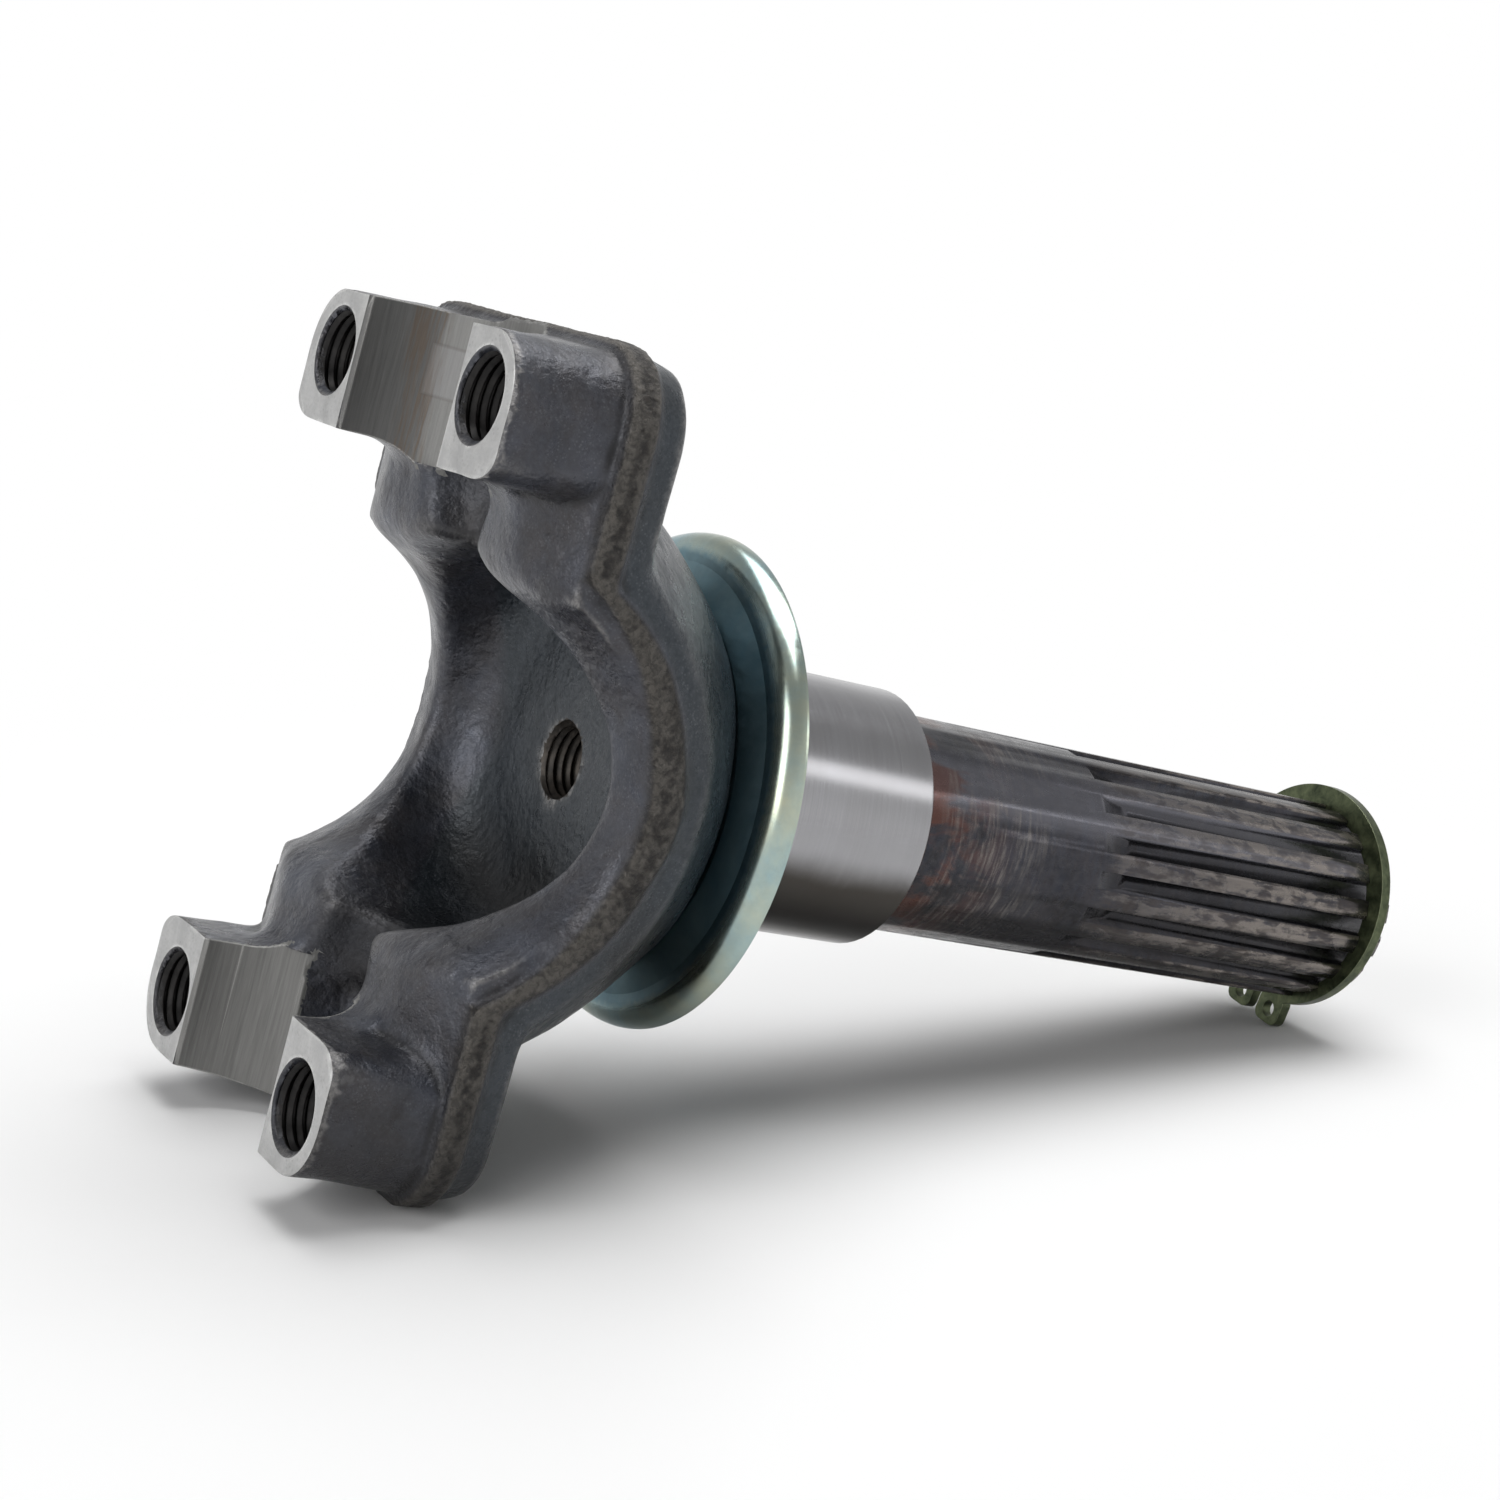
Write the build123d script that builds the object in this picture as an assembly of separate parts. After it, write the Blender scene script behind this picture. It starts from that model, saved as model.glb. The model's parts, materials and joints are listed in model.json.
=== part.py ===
"""Forged half-round end yoke on a splined stub shaft, with its dust slinger and retaining ring.

The model is drawn in the yoke's own directions: X along the shaft, from the milled ear tips to
the spline end, Z along the line of the joint cross, Y across the bowl. At the end it is laid on
the floor the way it comes to rest: on the lower ear's outer edge and on the ring's lugs.
"""
import os
from math import atan2, cos, degrees, radians, sin, sqrt, tan

from build123d import *

# Ears and their half-round saddles
cap_radius = 14.4
cap_edge_chamfer = 0.5
bolt_spacing_y = 41.6
bolt_spacing_z = 82.0
bolt_hole_radius = 4.87
bolt_hole_chamfer = 0.4
ear_half_width = 29.5
ear_outer_z = 49.6
ear_inner_z = 32.2
saddle_inner_z = 30.8
ear_corner_radius = 8.5
ear_draft = 3.6
boss_corner_radius = 5.5

# Fronts of the two arms: crowned on each side of a shallow trough
ledge_x = 9.5
crown_y = 18.2
crown_middle_x = 11.4
crown_middle_y = 24.0
trough_x = 11.0
trough_half_width = 3.0
trough_floor_x = 13.6
trough_floor_half = 1.2

# Arch and bowl between the ears
ledge_corner_radius = 6.0
inner_corner_radius = 4.2
arch_radius = 22.1
arch_centre_x = 4.1
arch_straight_half = 23.0
arch_flare_angle = 14.0
bowl_floor_x = 33.4
bowl_lip_radius = 23.6
bowl_fillet = 8.0
bowl_draft = 1.0
centre_hole_radius = 4.43
centre_hole_depth = 15.0
drill_point_slope = 31.0

# Forged relief at the bottom of each saddle
relief_half_width = 8.9
relief_mouth_x = 11.0
relief_floor_x = 18.4
relief_wall_angle = 14.0
relief_corner_radius = 3.0
relief_inner_z = 30.0
relief_outer_z = 45.0

# Parting line and its trimmed flash
base_radius = 30.2
parting_ear_x = 17.3
parting_radius = 27.0
parting_centre_x = 5.6
flash_front_ear_x = 13.7
flash_front_radius = 28.05
flash_front_centre_x = 0.2
flash_height = 1.5
flash_end_height = 1.2
flash_base_height = 2.0
flash_corner = 3.0

# Back of the forging
back_ear_x = 22.0
back_draft = 9.0
back_step = 0.45
rib_root_x = 19.0
rib_half_width = 13.5
rib_outer_z = 46.0
rib_inner_z = 18.0
rib_foot_x = 42.0
rib_foot_half_width = 10.0
rib_foot_outer_z = 21.0
rib_foot_inner_z = 3.0
rib_corner_radius = 3.5
hub_radius = 23.6
hub_face_x = 43.7
hub_cone_angle = 34.4
hub_bulge = 1.6

# Shaft
seat_radius = 19.0
seat_length = 3.2
journal_radius = 17.08
journal_end_x = 78.8
journal_chamfer = 0.5
shaft_radius = 14.54
shaft_end_x = 166.0
shaft_end_chamfer = 1.3
centre_drill_radius = 3.2
centre_drill_depth = 6.0

# Splines
spline_count = 17
spline_depth = 1.65
spline_land_share = 0.49
spline_flank_angle = 14.0
spline_start_x = 109.5
spline_cutter_radius = 13.0
spline_turn = -4.2

# Dust slinger, pressed from sheet
slinger_sheet = 1.2
slinger_clearance = 0.05
slinger_dish_radius = 27.6
slinger_dish_rise = 1.3
slinger_radius = 31.6
slinger_rim_radius = 3.0
slinger_lip = 0.3

# Retaining ring and its groove
ring_thickness = 1.6
ring_front_x = 160.6
ring_groove_play = 0.15
ring_groove_radius = 13.75
ring_clearance = 0.05
ring_wide = 3.5
ring_narrow = 1.9
ring_turn = 8.0
lug_gap = 1.6
lug_width = 5.0
lug_height = 4.8
lug_corner_radius = 1.4
lug_reach = 18.8
lug_hole_radius = 1.15
lug_hole_reach = 16.7

# Reach of the half-spaces, and how far a cutter starts outside the surface it opens
far = 100.0
over = 1.0


def across(sketch, x):
    """Places a flat outline, drawn with Y to the right and Z up, in the plane across the shaft at x."""
    return Plane(origin=(x, 0, 0), x_dir=(0, 1, 0), z_dir=(1, 0, 0)) * sketch


def along(sketch):
    """Places a flat outline, drawn with X to the right and Z up, in the plane through the shaft."""
    return Plane(origin=(0, 0, 0), x_dir=(1, 0, 0), z_dir=(0, -1, 0)) * sketch


def turned(points):
    """Turns a closed outline of (x, radius) points round the shaft."""
    outline = make_face(Polyline(*points, close=True))
    return revolve(along(outline), Axis.X, 360)


def bulge_to_line(line_x, radius, centre_x, corner):
    """Arc over the base from the shaft line, a hollow corner, and the height where it meets line_x."""
    hollow_z = sqrt((radius + corner) ** 2 - (line_x + corner - centre_x) ** 2)
    hollow_angle = degrees(atan2(hollow_z, line_x + corner - centre_x))
    arc = CenterArc((centre_x, 0), radius, 0, hollow_angle)
    hollow = CenterArc((line_x + corner, hollow_z), corner, 180 + hollow_angle, -hollow_angle)
    return [arc, hollow], hollow_z


def ears_side_of(line_x, radius, centre_x, corner):
    """Everything on the ears' side of a surface: flat over the ears, bulging to an arc over the base."""
    curve, line_z = bulge_to_line(line_x, radius, centre_x, corner)
    rest = Polyline((line_x, line_z), (line_x, far), (-far, far), (-far, 0), (centre_x + radius, 0))
    half = make_face(curve + [rest])
    return extrude(along(half + mirror(half, Plane.XZ)), far, both=True)


def ears_plan(side_grow, end_grow):
    """Outline of both ears and arms, seen along the shaft: one bar, straight at its sides."""
    width = 2 * (ear_half_width + side_grow)
    height = 2 * (ear_outer_z + end_grow)
    return RectangleRounded(width, height, ear_corner_radius + side_grow)


def forged_head():
    """Ears, arms and base as they leave the dies, with the trimmed flash along the parting line."""
    parting = ears_side_of(parting_ear_x, parting_radius, parting_centre_x, flash_corner)
    base_end = parting_centre_x + parting_radius
    bar = across(ears_plan(0, 0), parting_ear_x)
    disc = across(Circle(base_radius), 0)
    front = extrude(bar, -parting_ear_x, taper=ear_draft) + extrude(bar, base_end - parting_ear_x)
    front += extrude(disc, base_end)

    flash_front = ears_side_of(
        flash_front_ear_x, flash_front_radius, flash_front_centre_x, flash_corner
    )
    flash_plan = ears_plan(flash_height, flash_end_height) + Circle(base_radius + flash_base_height)
    flash = extrude(across(flash_plan, 0), base_end) - flash_front

    back_plan = ears_plan(back_step, back_step)
    back = extrude(across(back_plan, parting_ear_x), back_ear_x - parting_ear_x, taper=back_draft)
    hub_plan = back_plan + Circle(base_radius + back_step)
    hub_side = extrude(across(hub_plan, parting_ear_x), hub_face_x - parting_ear_x)
    return ((front + flash) & parting) + ((back + (hub_side & hub())) - parting) + ribs()


def hub():
    """Round back of the base: a slightly bulging cone down to the slinger's shoulder."""
    length = hub_face_x - parting_ear_x
    slope = radians(hub_cone_angle)
    start = (parting_ear_x, hub_radius + length * tan(slope))
    end = (hub_face_x, hub_radius)
    middle = (
        (start[0] + end[0]) / 2 + hub_bulge * sin(slope),
        (start[1] + end[1]) / 2 + hub_bulge * cos(slope),
    )
    bulge = ThreePointArc(start, middle, end)
    rest = Polyline(end, (hub_face_x, 0), (parting_ear_x, 0), start)
    return revolve(along(make_face([bulge, rest])), Axis.X, 360)


def ribs():
    """Sloping backs of the two arms, from between the bolt holes down to the hub."""
    both = []
    for side in (1, -1):
        root = Pos(0, side * (rib_outer_z + rib_inner_z) / 2) * RectangleRounded(
            2 * rib_half_width, rib_outer_z - rib_inner_z, rib_corner_radius
        )
        foot = Pos(0, side * (rib_foot_outer_z + rib_foot_inner_z) / 2) * RectangleRounded(
            2 * rib_foot_half_width, rib_foot_outer_z - rib_foot_inner_z, rib_corner_radius
        )
        both.append(loft([across(root, rib_root_x), across(foot, rib_foot_x)], ruled=True))
    return both[0] + both[1]


def bowl():
    """Room inside the yoke: the gap between the ears, the arch with its flared sides and the dish."""
    curve, line_z = bulge_to_line(ledge_x, arch_radius, arch_centre_x, ledge_corner_radius)
    corner_x = ledge_x - inner_corner_radius
    corner_z = ear_inner_z - inner_corner_radius
    edges = curve + [
        Line((ledge_x, line_z), (ledge_x, corner_z)),
        CenterArc((corner_x, corner_z), inner_corner_radius, 0, 90),
        Polyline(
            (corner_x, ear_inner_z),
            (-far, ear_inner_z),
            (-far, 0),
            (arch_centre_x + arch_radius, 0),
        ),
    ]
    half = make_face(edges)
    gap = extrude(along(half + mirror(half, Plane.XZ)), far, both=True)

    flare_reach = 2 * base_radius
    flare_rise = (flare_reach - arch_straight_half) * tan(radians(arch_flare_angle))
    wedge = make_face(
        Polyline(
            (0, arch_straight_half),
            (arch_radius, arch_straight_half),
            (arch_radius + flare_rise, flare_reach),
            (0, flare_reach),
            close=True,
        )
    )
    flare = revolve(wedge, Axis.Y, 360).moved(Location((arch_centre_x, 0, 0)))
    return gap + flare + mirror(flare, Plane.XZ) + dish() + arm_fronts()


def arm_fronts():
    """Room in front of the arms: outside their crowns, along the trough and at the boss corners."""
    top = (ledge_x, crown_y)
    side = (flash_front_ear_x, ear_half_width)
    crown = ThreePointArc(top, (crown_middle_x, crown_middle_y), side)
    outside = Polyline(side, (flash_front_ear_x, far), (-far, far), (-far, crown_y), top)
    beside = extrude(make_face([crown, outside]), far, both=True)
    square = Rectangle(2 * boss_corner_radius, 2 * boss_corner_radius)
    round_y = ear_half_width - boss_corner_radius
    round_z = ear_inner_z + boss_corner_radius
    corner = Pos(ear_half_width, ear_inner_z) * square - Pos(round_y, round_z) * Circle(boss_corner_radius)
    window = Rectangle(far, 2 * ear_inner_z) + corner + mirror(corner, Plane.XZ)
    beside &= extrude(across(window, -far), 2 * far)
    trough = make_face(
        Polyline(
            (-over, crown_y),
            (ledge_x, crown_y),
            (trough_x, trough_half_width),
            (trough_floor_x, trough_floor_half),
            (trough_floor_x, -trough_floor_half),
            (trough_x, -trough_half_width),
            (ledge_x, -crown_y),
            (-over, -crown_y),
            close=True,
        )
    )
    return beside + mirror(beside, Plane.XZ) + extrude(trough, saddle_inner_z, both=True)


def dish():
    """Dished bottom of the bowl: a flat floor, a large fillet and a drafted wall up to the lip."""
    lip_x = arch_centre_x + arch_radius
    slope = radians(90 - bowl_draft)
    wall_x = bowl_floor_x - bowl_fillet * (1 - cos(slope))
    wall_radius = bowl_lip_radius - (wall_x - lip_x) * tan(radians(bowl_draft))
    fillet_centre = wall_radius - bowl_fillet * sin(slope)
    mouth_radius = bowl_lip_radius + lip_x * tan(radians(bowl_draft))
    middle = (
        bowl_floor_x - bowl_fillet * (1 - cos(slope / 2)),
        fillet_centre + bowl_fillet * sin(slope / 2),
    )
    curve = ThreePointArc((bowl_floor_x, fillet_centre), middle, (wall_x, wall_radius))
    rest = Polyline(
        (wall_x, wall_radius),
        (0, mouth_radius),
        (0, 0),
        (bowl_floor_x, 0),
        (bowl_floor_x, fillet_centre),
    )
    return revolve(along(make_face([curve, rest])), Axis.X, 360)


def saddles():
    """Milled half-rounds for the bearing caps, with chamfered edges and the forged relief under them."""
    length = ear_outer_z + flash_end_height + over - saddle_inner_z
    bore = Pos(0, 0, saddle_inner_z + length / 2) * Cylinder(cap_radius, length)
    mouth_half = cap_radius + cap_edge_chamfer + over
    mouth = make_face(
        Polyline(
            (-over, mouth_half),
            (cap_edge_chamfer, cap_radius),
            (cap_edge_chamfer, -cap_radius),
            (-over, -mouth_half),
            close=True,
        )
    )
    bevel = Pos(0, 0, saddle_inner_z) * extrude(mouth, length)
    relief_middle_z = (relief_inner_z + relief_outer_z) / 2
    relief_face = Pos(0, relief_middle_z) * RectangleRounded(
        2 * relief_half_width, relief_outer_z - relief_inner_z, relief_corner_radius
    )
    relief_depth = relief_floor_x - relief_mouth_x
    relief = extrude(across(relief_face, relief_mouth_x), relief_depth, taper=relief_wall_angle)
    upper = bore + bevel + relief
    return upper + mirror(upper, Plane.XY)


def bolt_holes():
    """Four holes tapped right through the bosses, and the threaded centre hole in the bowl floor."""
    hole = turned(
        [
            (-over, 0),
            (-over, bolt_hole_radius + bolt_hole_chamfer + over),
            (bolt_hole_chamfer, bolt_hole_radius),
            (back_ear_x + over, bolt_hole_radius),
            (back_ear_x + over, 0),
        ]
    )
    holes = [
        hole.moved(Location((0, side_y * bolt_spacing_y / 2, side_z * bolt_spacing_z / 2)))
        for side_y in (1, -1)
        for side_z in (1, -1)
    ]
    tip = centre_hole_radius * tan(radians(drill_point_slope))
    centre = turned(
        [
            (bowl_floor_x - over, 0),
            (bowl_floor_x - over, centre_hole_radius),
            (bowl_floor_x + centre_hole_depth, centre_hole_radius),
            (bowl_floor_x + centre_hole_depth + tip, 0),
        ]
    )
    return holes + [centre]


def shaft():
    """Slinger seat, ground journal and plain shaft, with the ring groove and the drilled centre."""
    seat_end_x = hub_face_x + seat_length
    root_x = hub_face_x - over
    body = turned(
        [
            (root_x, 0),
            (root_x, seat_radius),
            (seat_end_x, seat_radius),
            (seat_end_x, journal_radius),
            (journal_end_x - journal_chamfer, journal_radius),
            (journal_end_x, journal_radius - journal_chamfer),
            (journal_end_x, shaft_radius),
            (shaft_end_x - shaft_end_chamfer, shaft_radius),
            (shaft_end_x, shaft_radius - shaft_end_chamfer),
            (shaft_end_x, 0),
        ]
    )
    groove_front_x = ring_front_x - ring_groove_play / 2
    groove_back_x = ring_front_x + ring_thickness + ring_groove_play / 2
    groove = turned(
        [
            (groove_front_x, ring_groove_radius),
            (groove_front_x, shaft_radius + over),
            (groove_back_x, shaft_radius + over),
            (groove_back_x, ring_groove_radius),
        ]
    )
    drill = turned(
        [
            (shaft_end_x + over, 0),
            (shaft_end_x + over, centre_drill_radius),
            (shaft_end_x, centre_drill_radius),
            (shaft_end_x - centre_drill_depth, 0),
        ]
    )
    return body - groove - drill - spline_grooves()


def spline_grooves():
    """Grooves between the splines, each rising out of the shaft along the cutter's round."""
    root_radius = shaft_radius - spline_depth
    pitch = 360 / spline_count
    mouth_half = shaft_radius * sin(radians(pitch * (1 - spline_land_share) / 2))
    lean = tan(radians(spline_flank_angle))
    top = shaft_radius + over
    section = make_face(
        Polyline(
            (mouth_half + lean * over, top),
            (mouth_half - lean * spline_depth, root_radius),
            (lean * spline_depth - mouth_half, root_radius),
            (-mouth_half - lean * over, top),
            close=True,
        )
    )
    bar = extrude(across(section, spline_start_x), shaft_end_x + over - spline_start_x)
    rise = spline_cutter_radius - spline_depth
    run_out = sqrt(spline_cutter_radius**2 - rise**2)
    angle = degrees(atan2(run_out, rise))
    end_x = shaft_end_x + 2 * over
    full_x = spline_start_x + run_out
    cutter = (full_x, root_radius + spline_cutter_radius)
    edges = [
        CenterArc(cutter, spline_cutter_radius, 270 - angle, angle),
        Polyline(
            (full_x, root_radius),
            (end_x, root_radius),
            (end_x, top + over),
            (spline_start_x, top + over),
            (spline_start_x, shaft_radius),
        ),
    ]
    groove = bar & extrude(along(make_face(edges)), shaft_radius, both=True)
    turns = [spline_turn + pitch * (number + 0.5) for number in range(spline_count)]
    return [groove.rotate(Axis.X, turn) for turn in turns]


def slinger():
    """Dished sheet slinger: flat against the hub, a cone, then a rim rolled back over the journal."""
    bore = seat_radius + slinger_clearance
    bend_x = hub_face_x + slinger_dish_rise
    rim_x = bend_x + slinger_rim_radius
    rim_centre = slinger_radius - slinger_rim_radius
    lip_x = rim_x + slinger_lip
    inner = slinger_rim_radius - slinger_sheet
    back_x = hub_face_x + slinger_sheet
    outside = Polyline(
        (back_x, bore),
        (hub_face_x, bore),
        (hub_face_x, hub_radius),
        (bend_x, slinger_dish_radius),
        (bend_x, rim_centre),
    )
    lip = Polyline(
        (rim_x, slinger_radius),
        (lip_x, slinger_radius),
        (lip_x, slinger_radius - slinger_sheet),
        (rim_x, slinger_radius - slinger_sheet),
    )
    inside = Polyline(
        (rim_x - inner, rim_centre),
        (rim_x - inner, slinger_dish_radius),
        (back_x, hub_radius),
        (back_x, bore),
    )
    edges = [
        outside,
        CenterArc((rim_x, rim_centre), slinger_rim_radius, 180, -90),
        lip,
        CenterArc((rim_x, rim_centre), inner, 90, 90),
        inside,
    ]
    return revolve(along(make_face(edges)), Axis.X, 360)


def retaining_ring():
    """Open spring ring, widest opposite its two drilled lugs, seated in the groove of the shaft."""
    inside = ring_groove_radius + ring_clearance
    outside = inside + (ring_wide + ring_narrow) / 2
    shift = (ring_wide - ring_narrow) / 2
    plan = Pos(0, shift) * Circle(outside)
    lug_y = (lug_gap + lug_width) / 2
    lug_z = lug_reach - lug_height / 2
    for side in (1, -1):
        plan += Pos(side * lug_y, -lug_z) * RectangleRounded(lug_width, lug_height, lug_corner_radius)
    plan -= Circle(inside)
    plan -= Pos(0, -lug_z) * Rectangle(lug_gap, 2 * lug_height)
    for side in (1, -1):
        plan -= Pos(side * lug_y, -lug_hole_reach) * Circle(lug_hole_radius)
    ring = extrude(across(plan, ring_front_x), ring_thickness)
    return ring.rotate(Axis.X, ring_turn)


def laid_down(ring):
    """Location that lays the part on the flash of its lower ear and on the lugs of the ring."""
    ear_foot = (parting_ear_x, ear_outer_z + flash_end_height)
    ring_foot = (ring_front_x + ring_thickness, -ring.bounding_box().min.Z)
    tilt = atan2(ear_foot[1] - ring_foot[1], ring_foot[0] - ear_foot[0])
    height = ear_foot[0] * sin(tilt) + ear_foot[1] * cos(tilt)
    return Location((0, 0, height), (0, degrees(tilt), 0))


def main():
    yoke = forged_head() + shaft() - bowl() - saddles() - bolt_holes()
    ring = retaining_ring()
    parts = {"yoke": yoke, "dust_slinger": slinger(), "retaining_ring": ring}
    rest = laid_down(ring)
    laid = {name: shape.moved(rest) for name, shape in parts.items()}
    box = Compound([*laid.values()]).bounding_box()
    centring = Location((-(box.min.X + box.max.X) / 2, -(box.min.Y + box.max.Y) / 2, 0))
    os.makedirs("parts", exist_ok=True)
    for name, shape in laid.items():
        placed = shape.moved(centring)
        export_step(placed, f"parts/{name}.step")
        print(name, "volume", round(placed.volume, 1), "box", placed.bounding_box())


main()
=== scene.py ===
"""Forged end yoke on a splined stub shaft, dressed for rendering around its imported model."""

import json
from math import atan2, cos, hypot, radians, sin, tau

import bmesh
import bpy
import numpy as np
from bpy.props import FloatProperty, FloatVectorProperty, PointerProperty
from mathutils import Matrix, Vector, noise


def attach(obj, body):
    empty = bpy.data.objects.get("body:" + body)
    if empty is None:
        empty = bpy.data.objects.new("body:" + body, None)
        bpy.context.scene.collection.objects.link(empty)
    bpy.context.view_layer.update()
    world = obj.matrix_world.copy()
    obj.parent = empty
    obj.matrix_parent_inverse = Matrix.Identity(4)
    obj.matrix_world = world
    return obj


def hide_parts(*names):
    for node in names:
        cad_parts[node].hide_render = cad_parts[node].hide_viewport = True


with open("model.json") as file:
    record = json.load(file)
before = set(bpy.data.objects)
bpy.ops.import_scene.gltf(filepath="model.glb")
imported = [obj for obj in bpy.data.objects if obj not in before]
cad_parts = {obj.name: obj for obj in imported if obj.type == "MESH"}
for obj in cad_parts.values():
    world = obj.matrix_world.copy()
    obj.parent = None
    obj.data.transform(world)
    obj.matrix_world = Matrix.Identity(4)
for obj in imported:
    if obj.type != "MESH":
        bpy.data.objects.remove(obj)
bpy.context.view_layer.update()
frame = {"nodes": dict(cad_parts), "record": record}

bl_info = {
    "name": "Forged end yoke",
    "version": (1, 0, 0),
    "blender": (4, 5, 0),
    "location": "View3D > Sidebar > Yoke",
    "description": "Builds the looks of a forged end yoke, its dust slinger and its retaining ring",
    "category": "Object",
}

MM = 0.001
MOUNTS = {mount["name"]: mount for mount in frame["record"]["mounts"]}
UPPER_SADDLE = MOUNTS["upper_cap_saddle"]
LOWER_SADDLE = MOUNTS["lower_cap_saddle"]
CENTRE = (Vector(UPPER_SADDLE["pos_m"]) + Vector(LOWER_SADDLE["pos_m"])) / 2
UP = Vector(UPPER_SADDLE["axis"]).normalized()
TILT = atan2(UP.x, UP.z)
# Turns the yoke's own directions, in millimetres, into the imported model's, in metres: X along the
# shaft from the ear tips, Z along the line of the joint cross
OWN = Matrix.Translation(CENTRE) @ Matrix.Rotation(TILT, 4, "Y") @ Matrix.Scale(MM, 4)

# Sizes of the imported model, in millimetres along the yoke's own directions
SADDLE_RADIUS = UPPER_SADDLE["dims"]["r_mm"]
BOLT_RADIUS = MOUNTS["upper_cap_bolts"]["dims"]["hole_r_mm"]
BOLT_Y = MOUNTS["upper_cap_bolts"]["dims"]["pcd_mm"] / 2
BOLT_Z = (Vector(MOUNTS["upper_cap_bolts"]["pos_m"]) - CENTRE).length / MM
CENTRE_HOLE_RADIUS = MOUNTS["centre_hole"]["dims"]["r_mm"]
CENTRE_HOLE_DEPTH = MOUNTS["centre_hole"]["dims"]["length_mm"]
BOWL_FLOOR_X = 33.4
SADDLE_INNER_Z = 30.8
EAR_INNER_Z = 32.2
EAR_OUTER_Z = 49.6
EAR_DRAFT = radians(3.6)
PARTING_X = 17.3
PARTING_RADIUS = 27.0
PARTING_CENTRE_X = 5.6
FLASH_FRONT_X = 13.7
FLASH_FRONT_RADIUS = 28.05
FLASH_FRONT_CENTRE_X = 0.2
HUB_FACE_X = 43.7
JOURNAL_END_X = 78.8
LEDGE_X = 9.5
BACK_X = 22.0
SPLINE_START_X = 109.5

# Places that only the looks need, found on it: the cut behind the hub that parts the forging from its
# stub, the roots of the flash, the top of the spline's lands and the slinger's bead
STUB_X = 47.0
FLASH_ROOT_Y = 29.9
FLASH_ROOT_Z = 50.0
FLASH_ROOT_RADIUS = 30.6
LAND_RADIUS = 14.55
BEAD_RADIUS = 30.4

# The forging before it is machined: stock on the tips, and how far the plugs in the saddles and the
# holes reach into the metal round them
TIP_STOCK = 3.0
SADDLE_GRIP = 0.3
HOLE_GRIP = 0.8

# Pockets under the saddles: width, depths of the mouth and of the floor, and reach along Z; then how
# much narrower the floor is than the mouth, the lean of the walls and the rounding of the bottom
RELIEF_WIDTH = 17.8
RELIEF_MOUTH_X = 10.0
RELIEF_FLOOR_X = 18.4
RELIEF_INNER_Z = 30.0
RELIEF_OUTER_Z = 45.0
RELIEF_INSET = 4.0
RELIEF_DRAFT = radians(14)
RELIEF_ROUND = 2.6

# Grooves from the bowl into the pockets: place, depth and half width at each end
VALLEY_NEAR = (16.0, 6.0, 3.4)
VALLEY_FAR = (33.5, 9.0, 9.6)

# Forged skin: height of its lumps and of the torn flash, how far it is smoothed at the flash and
# elsewhere, and how ridges are found on it
LUMP = 0.2
TEAR = 0.1
SOFT_FLASH = 0.32
SOFT_SKIN = 2.3
LONG_EDGE = 2.0
RIDGE_PASSES = 14
RIDGE_RISE = 0.9

# Edges and threads: broken edge of the saddles, countersink, pitch and depth of the threads
MOUTH = 0.4
SINK_DEPTH = 0.8
SINK_GROWTH = 1.35
BOLT_PITCH = 1.27
BOLT_THREAD = 0.42
CENTRE_PITCH = 1.25
CENTRE_THREAD = 0.6

# Half the side of the faint square that a clamp has left in the upper saddle, and its place there
MARK_HALF = 3.1
MARK_ANGLE = radians(43)
MARK_Z = 42.0

# Order of the forging's materials
FORGED, TIP, SADDLE, THREAD, GROUND, SHAFT = range(6)

# Half the floor's side, and the distances on it between which it passes from lit to plain white, in
# metres
FLOOR_HALF = 6.0
FLOOR_NEAR = 0.1
FLOOR_FAR = 0.26

# Camera's place, in millimetres, and its right and forward, all along the yoke's own directions
CAMERA_PLACE = (-131.06, -290.55, 45.90)
CAMERA_RIGHT = (0.82206, -0.50341, 0.26608)
CAMERA_FORWARD = (0.54550, 0.83025, -0.11456)


# Node helpers

def colour(red, green, blue):
    """Linear colour with full alpha from three shares of 255 as a screen shows them."""
    def linear(part):
        part /= 255
        return part / 12.92 if part <= 0.04045 else ((part + 0.055) / 1.055) ** 2.4

    return (linear(red), linear(green), linear(blue), 1)


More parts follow.
